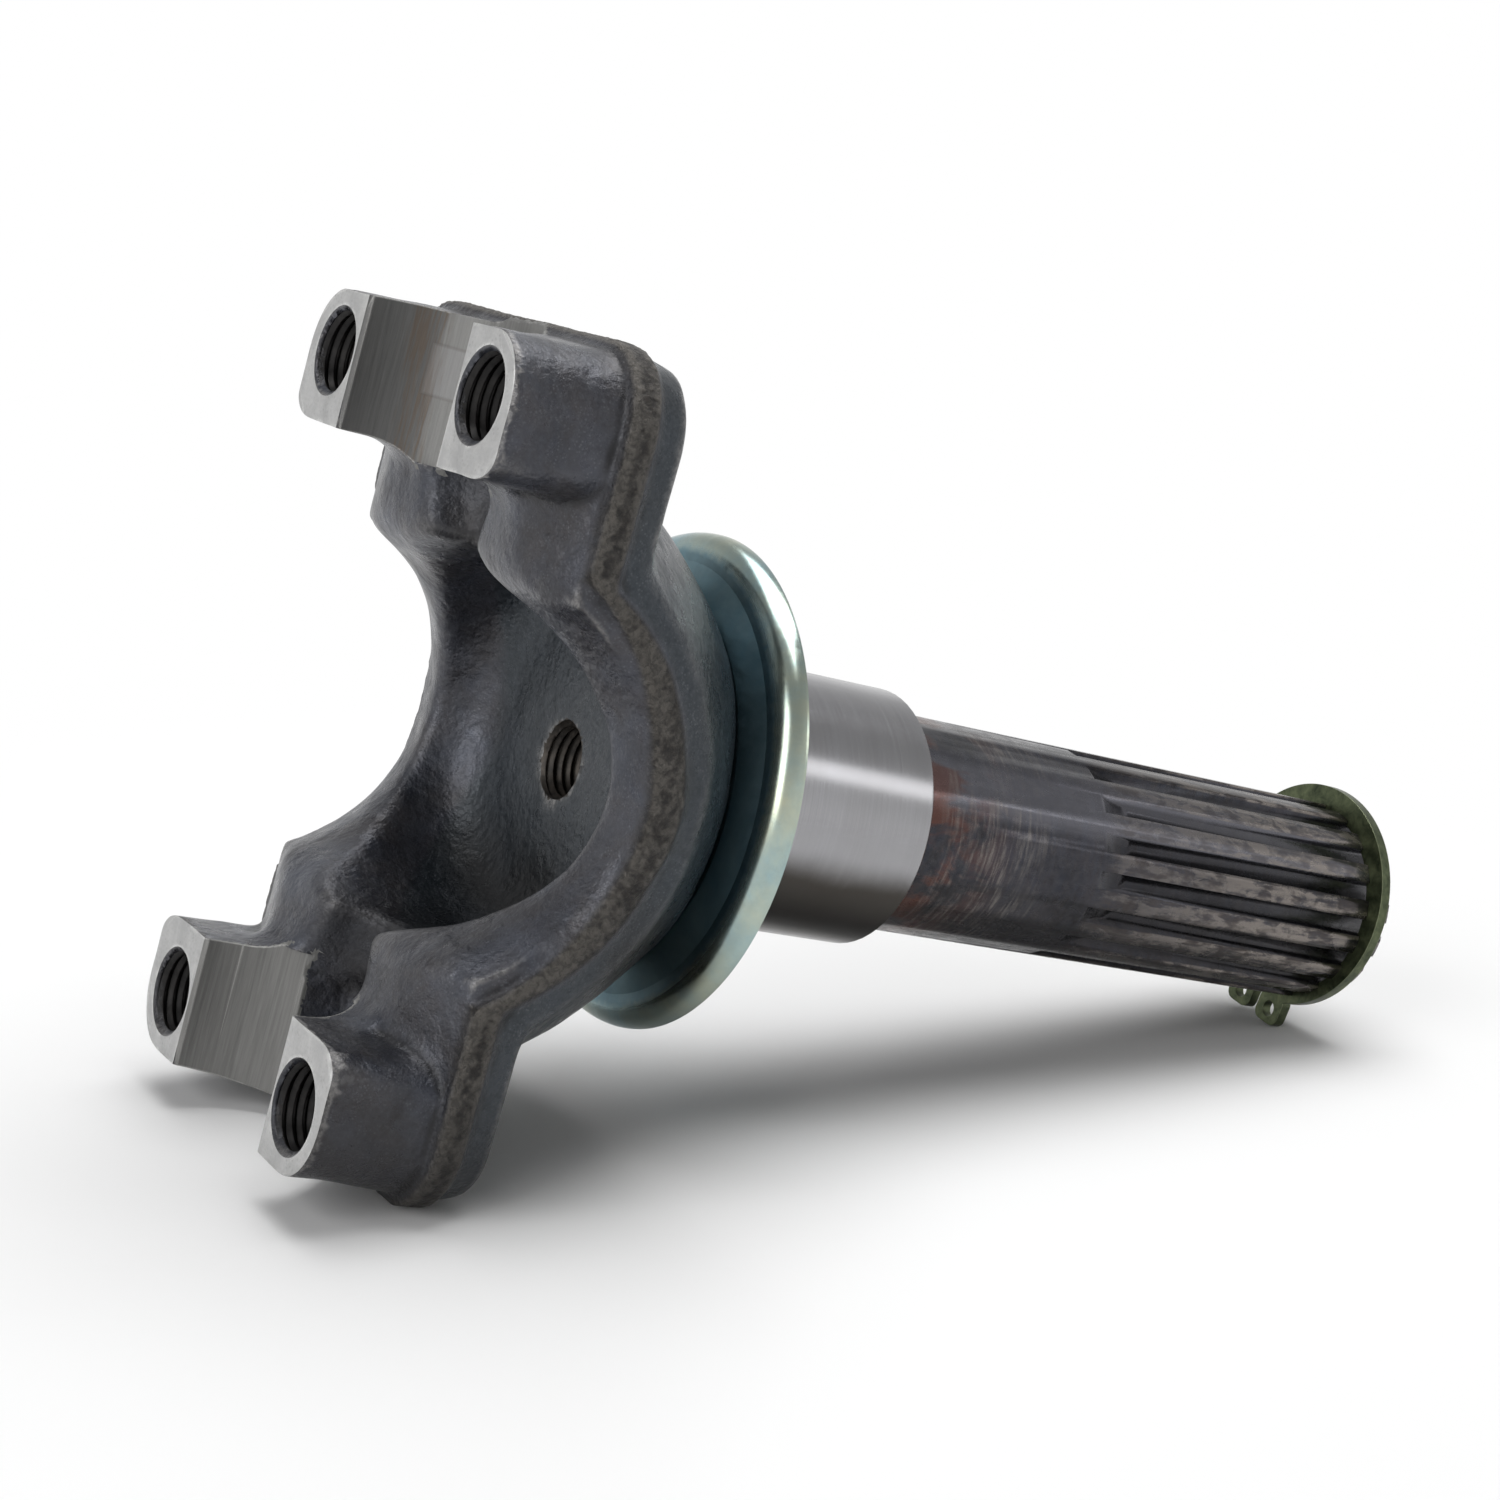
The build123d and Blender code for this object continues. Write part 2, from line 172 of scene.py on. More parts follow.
class Wiring:
    """Adds nodes to one tree and joins them."""

    def __init__(self, tree):
        self.tree = tree
        self.count = 0

    def node(self, kind, inputs=(), **settings):
        """Adds a node, sets its properties, and fills its inputs with values or other nodes' outputs."""
        made = self.tree.nodes.new(kind)
        made.location = (200 * (self.count % 12), -260 * (self.count // 12))
        self.count += 1
        for name, value in settings.items():
            setattr(made, name, value)
        self.fill(made.inputs, inputs)
        return made

    def fill(self, sockets, values):
        """Sets sockets to plain values, or links them to other nodes' outputs."""
        for key, value in dict(values).items():
            if isinstance(value, bpy.types.NodeSocket):
                self.tree.links.new(value, sockets[key])
            else:
                sockets[key].default_value = value

    def math(self, operation, *values, clamp=False):
        made = self.node("ShaderNodeMath", enumerate(values), operation=operation, use_clamp=clamp)
        return made.outputs[0]

    def times(self, first, second, clamp=False):
        return self.math("MULTIPLY", first, second, clamp=clamp)

    def ramp(self, value, low, high, start=0.0, end=1.0):
        """Carries value from low..high to start..end, held at both ends."""
        made = self.node(
            "ShaderNodeMapRange",
            {"Value": value, "From Min": low, "From Max": high, "To Min": start, "To Max": end},
            interpolation_type="SMOOTHSTEP",
        )
        return made.outputs["Result"]

    def mix(self, factor, first, second):
        made = self.node("ShaderNodeMix", {0: factor, 6: first, 7: second}, data_type="RGBA")
        return made.outputs[2]

    def layer(self, base, tint, mask, amount):
        """The base with a tint over it where the mask is 1, by the amount from 0 to 1."""
        return self.mix(self.times(mask, amount), base, tint)

    def noise(self, vector, scale, detail, roughness, distortion=0.0):
        values = {"Vector": vector, "Scale": scale, "Detail": detail, "Roughness": roughness}
        made = self.node("ShaderNodeTexNoise", {**values, "Distortion": distortion})
        return made.outputs["Fac"]

    def stretched(self, vector, x, y, z):
        """The vector with its parts multiplied, so that a pattern is drawn out along the small ones."""
        made = self.node("ShaderNodeVectorMath", {0: vector, 1: (x, y, z)}, operation="MULTIPLY")
        return made.outputs[0]

    def split(self, vector):
        made = self.node("ShaderNodeSeparateXYZ", {0: vector})
        return made.outputs[0], made.outputs[1], made.outputs[2]

    def join(self, x, y, z):
        made = self.node("ShaderNodeCombineXYZ", {0: x, 1: y, 2: z})
        return made.outputs[0]


def new_group(name, inputs, outputs):
    """Empty node group with named inputs, as (socket type, default), and outputs.

    Returns its wiring, what it is given and what it puts out.
    """
    tree = bpy.data.node_groups.new(name, "ShaderNodeTree")
    for label, (kind, default) in inputs.items():
        socket = tree.interface.new_socket(label, in_out="INPUT", socket_type="NodeSocket" + kind)
        if default is not None:
            socket.default_value = default
    for label, kind in outputs.items():
        tree.interface.new_socket(label, in_out="OUTPUT", socket_type="NodeSocket" + kind)
    wiring = Wiring(tree)
    return wiring, wiring.node("NodeGroupInput").outputs, wiring.node("NodeGroupOutput").inputs


def group(name):
    """The named effect, built at its first use."""
    if name not in bpy.data.node_groups:
        EFFECTS[name]()
    return bpy.data.node_groups[name]


def mottle_group():
    """Uneven patches: cloudy noise, pushed apart by the contrast."""
    wiring, given, out = new_group(
        "mottle",
        {"Vector": ("Vector", None), "Scale": ("Float", 0.2), "Contrast": ("Float", 2.0)},
        {"Mask": "Float"},
    )
    cloud = wiring.noise(given["Vector"], given["Scale"], 6.0, 0.62, 0.4)
    centred = wiring.math("SUBTRACT", cloud, 0.5)
    pushed = wiring.math("MULTIPLY_ADD", centred, given["Contrast"], 0.5, clamp=True)
    wiring.tree.links.new(pushed, out["Mask"])


def grain_group():
    """Fine lines along one direction of the vector, as a cutter or a grinding wheel leaves them."""
    wiring, given, out = new_group(
        "grain",
        {"Vector": ("Vector", None), "Scale": ("Float", 3.0), "Strength": ("Float", 1.0)},
        {"Mask": "Float"},
    )
    fine = wiring.noise(given["Vector"], given["Scale"], 5.0, 0.7)
    centred = wiring.math("SUBTRACT", fine, 0.5)
    strong = wiring.math("MULTIPLY_ADD", centred, given["Strength"], 0.5, clamp=True)
    wiring.tree.links.new(strong, out["Mask"])


def speckle_group():
    """Small dots, thin over most of the surface and thick in patches: pits and grains, and the forged
    skin's painted glints.
    """
    wiring, given, out = new_group(
        "speckle",
        {"Vector": ("Vector", None), "Scale": ("Float", 1.5), "Cover": ("Float", 0.5)},
        {"Mask": "Float"},
    )
    cells = wiring.node(
        "ShaderNodeTexVoronoi",
        {"Vector": given["Vector"], "Scale": given["Scale"], "Randomness": 1.0},
        feature="F1",
    ).outputs["Distance"]
    dots = wiring.ramp(cells, 0.12, 0.42, 1.0, 0.0)
    patches = wiring.noise(given["Vector"], 0.35, 5.0, 0.6)
    thin = wiring.math("SUBTRACT", patches, 0.7)
    cover = wiring.math("MULTIPLY_ADD", given["Cover"], 0.6, thin, clamp=True)
    shown = wiring.times(dots, wiring.times(cover, 3.0, clamp=True), clamp=True)
    wiring.tree.links.new(shown, out["Mask"])


def edge_group():
    """Edge wear: a normal rounded over edges by a radius in millimetres, and a mask along those edges."""
    wiring, given, out = new_group(
        "worn_edge", {"Radius": ("Float", 0.5)}, {"Normal": "Vector", "Mask": "Float"}
    )
    reach = wiring.times(given["Radius"], MM)
    rounded = wiring.node("ShaderNodeBevel", {"Radius": reach}, samples=6).outputs[0]
    plain = wiring.node("ShaderNodeNewGeometry").outputs["Normal"]
    compared = wiring.node("ShaderNodeVectorMath", {0: rounded, 1: plain}, operation="DOT_PRODUCT")
    wiring.fill(out, {"Normal": rounded, "Mask": wiring.ramp(compared.outputs["Value"], 0.998, 0.94)})


EFFECTS = {
    "mottle": mottle_group,
    "grain": grain_group,
    "speckle": speckle_group,
    "worn_edge": edge_group,
}


def start_material(name):
    """New material with its shader and its coordinates: the yoke's own directions, in millimetres."""
    material = bpy.data.materials.new(name)
    material.use_nodes = True
    material.node_tree.nodes.clear()
    wiring = Wiring(material.node_tree)
    end = wiring.node("ShaderNodeOutputMaterial")
    shader = wiring.node("ShaderNodeBsdfPrincipled")
    wiring.tree.links.new(shader.outputs[0], end.inputs[0])
    place = wiring.node("ShaderNodeTexCoord").outputs["Object"]
    turned = wiring.node("ShaderNodeMapping", {"Vector": place}, vector_type="TEXTURE")
    turned.inputs["Location"].default_value = CENTRE
    turned.inputs["Rotation"].default_value = (0, TILT, 0)
    turned.inputs["Scale"].default_value = (MM, MM, MM)
    return material, wiring, shader, turned.outputs[0]


def finish_shader(wiring, shader, base, roughness, metallic, height, strength, distance, normal=None):
    """Gives the shader its colour, roughness, metallic and bump; distance is the bump's, in millimetres."""
    wiring.fill(shader.inputs, {"Base Color": base, "Roughness": roughness, "Metallic": metallic})
    values = {"Height": height, "Strength": strength, "Distance": distance * MM}
    if normal is not None:
        values["Normal"] = normal
    bump = wiring.node("ShaderNodeBump", values)
    wiring.fill(shader.inputs, {"Normal": bump.outputs[0]})


def effect(wiring, name, **inputs):
    """Places a shared effect in a material and returns its mask."""
    return wiring.node("ShaderNodeGroup", inputs, node_tree=group(name)).outputs["Mask"]


def worn_edge(wiring, radius):
    """Places the edge wear in a material and returns its normal and its mask."""
    made = wiring.node("ShaderNodeGroup", {"Radius": radius}, node_tree=group("worn_edge"))
    return made.outputs["Normal"], made.outputs["Mask"]


def from_axis(wiring, own):
    """Distance from the shaft's axis, in millimetres."""
    _, y, z = wiring.split(own)
    return wiring.math("SQRT", wiring.math("ADD", wiring.times(y, y), wiring.times(z, z)))


def attribute(wiring, name):
    """A value that the forging's mesh stores on its points."""
    return wiring.node("ShaderNodeAttribute", attribute_name=name).outputs["Fac"]


def forged_material(sizes):
    """As-forged skin: dark blue-grey scale, browned in patches, rubbed on its ridges, torn at the flash.

    Painted shade darkens the hollows, the foot, the underside of the hub and the grooves that lead to the
    saddles; light specks are painted glints.
    """
    material, wiring, shader, own = start_material("forged_scale")
    x, y, z = wiring.split(own)
    ridge = attribute(wiring, "ridge")
    flash = attribute(wiring, "flash")
    behind = attribute(wiring, "behind")
    patches = effect(wiring, "mottle", Vector=own, Scale=0.07, Contrast=3.0)
    clouds = effect(wiring, "mottle", Vector=own, Scale=0.28, Contrast=2.6)
    other = effect(wiring, "mottle", Vector=wiring.stretched(own, 1.0, -1.0, 1.0), Scale=0.1, Contrast=4.0)
    pebbles = effect(wiring, "mottle", Vector=own, Scale=1.5, Contrast=2.6)
    specks = effect(wiring, "speckle", Vector=own, Scale=2.4, Cover=0.5)
    base = wiring.mix(patches, tuple(sizes.scale_dark) + (1,), tuple(sizes.scale_light) + (1,))
    base = wiring.layer(base, colour(54, 57, 72), clouds, 0.3)
    base = wiring.layer(base, colour(62, 54, 47), other, 0.45)
    base = wiring.layer(base, colour(32, 41, 46), behind, 0.8)
    base = wiring.layer(base, colour(88, 92, 98), pebbles, 0.28)
    # Painted highlight: the light specks are painted glints on the scale.
    base = wiring.layer(base, colour(124, 127, 132), specks, 0.35)
    # Painted shade: the hollows of the skin are darkened.
    hollow = wiring.ramp(ridge, 0.47, 0.25)
    base = wiring.layer(base, colour(14, 13, 14), hollow, 0.85)
    rub = wiring.times(wiring.ramp(ridge, 0.56, 0.8), wiring.ramp(pebbles, 0.2, 0.8, 0.3, 1.0))
    base = wiring.layer(base, colour(134, 132, 130), rub, 0.75)

    crust = effect(wiring, "mottle", Vector=own, Scale=1.3, Contrast=4.0)
    seams = effect(wiring, "speckle", Vector=own, Scale=1.6, Cover=1.0)
    torn = wiring.mix(crust, colour(26, 24, 22), colour(50, 46, 42))
    torn = wiring.layer(torn, colour(88, 84, 79), seams, 0.3)
    rim = wiring.times(wiring.ramp(ridge, 0.54, 0.68), wiring.ramp(crust, 0.1, 0.7, 0.5, 1.0))
    torn = wiring.layer(torn, colour(112, 108, 102), rim, 0.45)
    base = wiring.layer(base, torn, flash, 0.95)

    # Painted shade: darker towards the foot, under the hub and in the grooves that lead to the saddles.
    drift = wiring.math("MULTIPLY_ADD", patches, 4.0, z)
    foot = wiring.times(wiring.ramp(drift, -30.0, -42.0), 0.45)
    under = wiring.times(wiring.ramp(x, 26.0, 32.0), wiring.ramp(drift, -4.0, -16.0))
    rise = wiring.math("ABSOLUTE", z)
    groove = wiring.times(wiring.ramp(rise, 18.0, 25.0), wiring.ramp(rise, 37.0, 33.0))
    groove = wiring.times(groove, wiring.ramp(wiring.math("ABSOLUTE", y), 10.0, 5.0))
    painted_shade = wiring.math("MAXIMUM", wiring.times(under, 0.75), wiring.times(groove, 0.6))
    base = wiring.mix(wiring.math("MAXIMUM", foot, painted_shade), base, colour(22, 20, 19))

    roughness = wiring.ramp(clouds, 0.0, 1.0, 0.38, 0.24)
    roughness = wiring.math("ADD", roughness, wiring.times(flash, 0.2))
    scale = wiring.noise(own, 0.9, 6.0, 0.6)
    coarse = wiring.noise(own, 0.3, 3.0, 0.5)
    height = wiring.math("MULTIPLY_ADD", coarse, 1.6, scale)
    height = wiring.math("ADD", height, wiring.times(wiring.times(crust, flash), 0.8))
    finish_shader(wiring, shader, base, roughness, 0.45, height, 0.8, 0.26)
    return material


def tip_material():
    """Milled tips: bright, with faint sweeps of the cutter across them and dull spots."""
    material, wiring, shader, own = start_material("milled_tips")
    across = wiring.stretched(own, 1.0, 0.35, 3.2)
    sweeps = effect(wiring, "grain", Vector=across, Scale=1.0, Strength=1.2)
    patches = effect(wiring, "mottle", Vector=own, Scale=0.22, Contrast=2.4)
    fine = effect(wiring, "mottle", Vector=own, Scale=2.2, Contrast=2.0)
    specks = effect(wiring, "speckle", Vector=own, Scale=1.8, Cover=0.45)
    base = wiring.mix(patches, colour(172, 172, 172), colour(204, 204, 203))
    base = wiring.layer(base, colour(150, 150, 150), sweeps, 0.3)
    base = wiring.layer(base, colour(140, 139, 138), fine, 0.3)
    base = wiring.layer(base, colour(96, 94, 92), specks, 0.5)
    rounded, edge = worn_edge(wiring, 0.8)
    nicks = wiring.ramp(fine, 0.15, 0.4)
    base = wiring.layer(base, wiring.mix(nicks, colour(96, 94, 92), colour(228, 228, 226)), edge, 0.8)
    shade = wiring.ramp(sweeps, 0.0, 1.0, 0.45, 0.55)
    finish_shader(wiring, shader, base, shade, 0.6, fine, 0.25, 0.05, rounded)
    return material


def saddle_material():
    """Bored saddles: grey, with fine lines along the bore.

    The upper one is darker on one side, partly a duller finish and partly painted shade, with a brown
    stripe beside it and a clamp's faint square mark.
    """
    material, wiring, shader, own = start_material("bored_saddles")
    x, y, z = wiring.split(own)
    angle = wiring.math("ARCTAN2", y, x)
    turn = wiring.times(angle, SADDLE_RADIUS)
    drawn = wiring.join(wiring.times(turn, 2.4), wiring.times(z, 0.08), 0.0)
    lines = effect(wiring, "grain", Vector=drawn, Scale=1.0, Strength=2.6)
    broad = wiring.join(wiring.times(turn, 0.5), wiring.times(z, 0.03), 3.0)
    bands = effect(wiring, "grain", Vector=broad, Scale=1.0, Strength=3.0)
    base = wiring.mix(lines, colour(94, 94, 92), colour(128, 128, 126))
    base = wiring.layer(base, colour(140, 138, 136), bands, 0.3)
    upper = wiring.ramp(z, -5.0, 5.0)
    wavy = wiring.math("MULTIPLY_ADD", bands, 3.0, y)
    # Painted shade, partly a duller finish: one side of the upper saddle is darker.
    left = wiring.times(wiring.ramp(wavy, 12.0, 13.6), upper)
    base = wiring.layer(base, colour(60, 60, 61), left, 0.55)
    stripe = wiring.times(wiring.ramp(wavy, 11.6, 12.8), wiring.ramp(wavy, 14.6, 13.4))
    stain = wiring.times(wiring.times(stripe, upper), wiring.ramp(lines, 0.3, 0.6))
    base = wiring.layer(base, colour(88, 72, 56), stain, 0.6)
    right = wiring.times(wiring.ramp(wavy, 13.2, 11.8), upper)
    base = wiring.layer(base, colour(62, 62, 64), right, 0.1)

    wide = wiring.math("ABSOLUTE", wiring.math("SUBTRACT", angle, MARK_ANGLE))
    tall = wiring.math("ABSOLUTE", wiring.math("SUBTRACT", z, MARK_Z))
    away = wiring.math("MAXIMUM", wiring.times(wide, SADDLE_RADIUS), tall)
    away = wiring.math("SUBTRACT", away, MARK_HALF)
    outline = wiring.times(wiring.ramp(away, -0.35, -0.05), wiring.ramp(away, 0.3, 0.0))
    base = wiring.layer(base, colour(136, 136, 138), wiring.ramp(away, 0.05, -0.05), 0.25)
    base = wiring.layer(base, colour(84, 80, 76), outline, 0.45)
    rounded, edge = worn_edge(wiring, 0.35)
    base = wiring.layer(base, colour(196, 195, 192), edge, 0.7)
    shade = wiring.ramp(lines, 0.0, 1.0, 0.42, 0.52)
    finish_shader(wiring, shader, base, shade, 0.45, lines, 0.3, 0.04, rounded)
    return material


def thread_material():
    """Oily cut steel of the tapped holes, lighter and browner in the centre hole."""
    material, wiring, shader, own = start_material("tapped_threads")
    patches = effect(wiring, "mottle", Vector=own, Scale=0.5, Contrast=2.6)
    x = wiring.split(own)[0]
    centre = wiring.ramp(x, BACK_X + 2, BACK_X + 4)
    dark = wiring.mix(centre, colour(14, 13, 13), colour(24, 22, 20))
    light = wiring.mix(centre, colour(44, 42, 41), colour(72, 66, 60))
    base = wiring.mix(patches, dark, light)
    finish_shader(wiring, shader, base, 0.4, 0.6, patches, 0.1, 0.05)
    return material


def ground_material():
    """Ground journal: bright, with fine lines round it, and darker and browner low down by a painted
    reflection.
    """
    material, wiring, shader, own = start_material("ground_steel")
    x, y, z = wiring.split(own)
    fine = wiring.join(wiring.times(x, 7.0), wiring.times(y, 0.04), wiring.times(z, 0.04))
    lines = effect(wiring, "grain", Vector=fine, Scale=1.0, Strength=1.4)
    patches = effect(wiring, "mottle", Vector=own, Scale=0.06, Contrast=2.0)
    base = wiring.mix(lines, colour(146, 146, 149), colour(166, 166, 169))
    base = wiring.layer(base, colour(128, 126, 124), patches, 0.35)
    # Painted reflection: dark and brownish towards the journal's underside.
    painted_low_reflection = wiring.math("MULTIPLY_ADD", patches, 1.5, z)
    base = wiring.layer(base, colour(48, 43, 35), wiring.ramp(painted_low_reflection, -1.6, -6.4), 0.9)
    rounded, edge = worn_edge(wiring, 0.5)
    base = wiring.layer(base, colour(196, 194, 190), edge, 0.5)
    shade = wiring.ramp(lines, 0.0, 1.0, 0.17, 0.25)
    finish_shader(wiring, shader, base, shade, 1.0, lines, 0.06, 0.02, rounded)
    return material


def shaft_material():
    """Hardened shaft: dark scale, heated brown and rubbed by the journal, worn on the splines' lands, with
    a painted highlight band along its upper side and painted shade low down.
    """
    material, wiring, shader, own = start_material("hardened_shaft")
    x, _, z = wiring.split(own)
    radius = from_axis(wiring, own)
    slightly_along = wiring.stretched(own, 0.6, 1.0, 1.0)
    patches = effect(wiring, "mottle", Vector=slightly_along, Scale=0.14, Contrast=3.0)
    fine = effect(wiring, "mottle", Vector=own, Scale=0.9, Contrast=2.4)
    slightly_round = wiring.stretched(own, 2.4, 0.8, 0.8)
    faint = effect(wiring, "mottle", Vector=slightly_round, Scale=0.35, Contrast=3.0)
    base = wiring.mix(patches, colour(28, 27, 30), colour(64, 62, 67))
    base = wiring.layer(base, colour(54, 62, 76), faint, 0.35)
    base = wiring.layer(base, colour(104, 102, 102), fine, 0.2)
    # Painted highlight: a lighter band along the upper side.
    painted_highlight_band = wiring.times(wiring.ramp(z, 4.0, 7.0), wiring.ramp(z, 13.0, 10.0))
    base = wiring.layer(base, colour(134, 134, 142), painted_highlight_band, 0.4)
    # Painted shade: darker towards the underside.
    base = wiring.layer(base, colour(30, 26, 22), wiring.ramp(z, -1.0, -7.0), 0.35)

    from_journal = wiring.math("SUBTRACT", x, JOURNAL_END_X)
    heated = wiring.times(wiring.ramp(from_journal, 18.2, 1.2), wiring.ramp(patches, 0.3, 0.7))
    base = wiring.layer(base, colour(94, 58, 46), heated, 0.7)
    rubbed = wiring.times(wiring.ramp(from_journal, 1.2, 7.2), wiring.ramp(from_journal, 26.2, 13.2))
    far_round = wiring.stretched(own, 1.9, 0.22, 0.22)
    scuffs = effect(wiring, "mottle", Vector=far_round, Scale=0.9, Contrast=2.4)
    rings = wiring.times(wiring.ramp(scuffs, 0.35, 1.0), wiring.ramp(patches, 0.15, 0.7))
    base = wiring.layer(base, colour(138, 133, 128), wiring.times(rubbed, rings), 0.5)

    past = wiring.ramp(x, SPLINE_START_X, SPLINE_START_X + 4)
    land = wiring.times(wiring.ramp(radius, LAND_RADIUS - 0.4, LAND_RADIUS - 0.1), past)
    beyond = wiring.ramp(x, SPLINE_START_X, SPLINE_START_X + 40, 0.35, 1.0)
    far_along = wiring.stretched(own, 0.12, 0.9, 0.9)
    streaks = effect(wiring, "grain", Vector=far_along, Scale=1.0, Strength=4.0)
    along = wiring.stretched(own, 0.55, 1.0, 1.0)
    flakes = effect(wiring, "mottle", Vector=along, Scale=0.55, Contrast=4.0)
    worn = wiring.times(land, beyond)
    worn = wiring.times(worn, wiring.ramp(wiring.math("ADD", streaks, flakes), 0.5, 1.5))
    base = wiring.layer(base, colour(134, 127, 121), worn, 0.8)
    browned = wiring.times(land, wiring.ramp(flakes, 0.6, 0.2))
    base = wiring.layer(base, colour(78, 70, 64), browned, 0.35)
    groove = wiring.times(wiring.ramp(radius, LAND_RADIUS - 0.45, LAND_RADIUS - 1.25), past)
    base = wiring.layer(base, colour(34, 33, 34), groove, 0.5)
    rounded, edge = worn_edge(wiring, 0.3)
    base = wiring.layer(base, colour(132, 126, 120), edge, 0.4)
    shade = wiring.ramp(flakes, 0.0, 1.0, 0.2, 0.3)
    finish_shader(wiring, shader, base, shade, 0.85, fine, 0.15, 0.05, rounded)
    return material


def zinc_material():
    """Blue-green zinc: dull in the dish and darker there by painted shade, bright and yellowed in places on
    the rolled bead.
    """
    material, wiring, shader, own = start_material("zinc_plate")
    radius = from_axis(wiring, own)
    patches = effect(wiring, "mottle", Vector=own, Scale=0.06, Contrast=3.0)
    fine = effect(wiring, "mottle", Vector=own, Scale=0.6, Contrast=2.2)
    bead = wiring.mix(patches, colour(148, 176, 182), colour(186, 190, 168))
    # Painted shade: the dish is darker than the bead.
    dish = wiring.mix(patches, colour(92, 124, 136), colour(132, 160, 168))
    uneven = wiring.math("ADD", radius, wiring.times(fine, 0.8))
    within = wiring.ramp(uneven, BEAD_RADIUS, BEAD_RADIUS - 1.6)
    base = wiring.mix(within, bead, dish)
    base = wiring.layer(base, colour(120, 128, 126), fine, 0.2)
    shade = wiring.ramp(fine, 0.0, 1.0, 0.18, 0.26)
    shade = wiring.math("ADD", shade, wiring.times(within, 0.14))
    finish_shader(wiring, shader, base, shade, 1.0, fine, 0.1, 0.05)
    return material


def ring_material():
    """Olive plated spring steel."""
    material, wiring, shader, own = start_material("olive_plate")
    fine = effect(wiring, "mottle", Vector=own, Scale=0.6, Contrast=2.4)
    base = wiring.mix(fine, colour(44, 52, 36), colour(100, 108, 80))
    rounded, edge = worn_edge(wiring, 0.2)
    base = wiring.layer(base, colour(150, 156, 128), edge, 0.4)
    shade = wiring.ramp(fine, 0.0, 1.0, 0.3, 0.42)
    finish_shader(wiring, shader, base, shade, 0.8, fine, 0.1, 0.05, rounded)
    return material


# Shape of the forging

def own_copy():
    """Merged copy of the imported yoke's mesh, in millimetres along its own directions."""
    shape = bmesh.new()
    shape.from_mesh(frame["nodes"]["yoke"].data)
    bmesh.ops.transform(shape, matrix=OWN.inverted(), verts=shape.verts)
    bmesh.ops.remove_doubles(shape, verts=shape.verts, dist=0.0005)
    return shape


def keep_in_box(shape):
    """Holds a shape, in metres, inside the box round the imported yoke, which its lumps would leave."""
    solid = own_copy()
    places = [OWN @ vert.co for vert in solid.verts]
    solid.free()
    low, high = [[pick(place[axis] for place in places) for axis in range(3)] for pick in (min, max)]
    for vert in shape.verts:
        vert.co = [min(max(value, least), most) for value, least, most in zip(vert.co, low, high)]


def cut_flat(shape, point, away):
    """Cuts off what lies beyond a plane, on the side that away points to, and closes the cut."""
    geometry = shape.verts[:] + shape.edges[:] + shape.faces[:]
    bmesh.ops.bisect_plane(shape, geom=geometry, dist=1e-5, plane_co=point, plane_no=away, clear_outer=True)
    rim = [edge for edge in shape.edges if edge.is_boundary]
    made = bmesh.ops.holes_fill(shape, edges=rim, sides=0)["faces"]
    bmesh.ops.triangulate(shape, faces=made)


def cylinder(start, end, radius, segments=96):
    """Closed cylinder between two points."""
    start, end = Vector(start), Vector(end)
    shape = bmesh.new()
    turn = (end - start).to_track_quat("Z", "Y").to_matrix().to_4x4()
    bmesh.ops.create_cone(
        shape,
        cap_ends=True,
        cap_tris=True,
        segments=segments,
        radius1=radius,
        radius2=radius,
        depth=(end - start).length,
        matrix=Matrix.Translation((start + end) / 2) @ turn,
    )
    return shape


def join(shape, *others):
    """Adds the geometry of the others to a shape, and frees them."""
    for other in others:
        mesh = bpy.data.meshes.new("part")
        other.to_mesh(mesh)
        other.free()
        shape.from_mesh(mesh)
        bpy.data.meshes.remove(mesh)
    return shape


def to_object(name, shape):
    """Object with the shape's mesh, linked to the scene."""
    mesh = bpy.data.meshes.new(name)
    shape.to_mesh(mesh)
    shape.free()
    made = bpy.data.objects.new(name, mesh)
    bpy.context.scene.collection.objects.link(made)
    return made


def apply(thing, kind, **settings):
    """Runs one modifier on an object and keeps its result as the object's mesh."""
    modifier = thing.modifiers.new("step", kind)
    for name, value in settings.items():
        setattr(modifier, name, value)
    graph = bpy.context.evaluated_depsgraph_get()
    made = bpy.data.meshes.new_from_object(thing.evaluated_get(graph))
    thing.modifiers.clear()
    old = thing.data
    thing.data = made
    bpy.data.meshes.remove(old)


def remesh(thing, voxel):
    """Builds an object's surface again on a grid, so that its faces are small and even."""
    apply(thing, "REMESH", mode="VOXEL", voxel_size=voxel, adaptivity=0.0)


def combine(thing, shape, operation, voxel=None):
    """Cuts the shape out of an object, or welds it on; with a voxel size the shape is remeshed first."""
    other = to_object("tool", shape)
    if voxel:
        remesh(other, voxel)
    apply(thing, "BOOLEAN", operation=operation, solver="MANIFOLD", object=other)
    mesh = other.data
    bpy.data.objects.remove(other)
    bpy.data.meshes.remove(mesh)


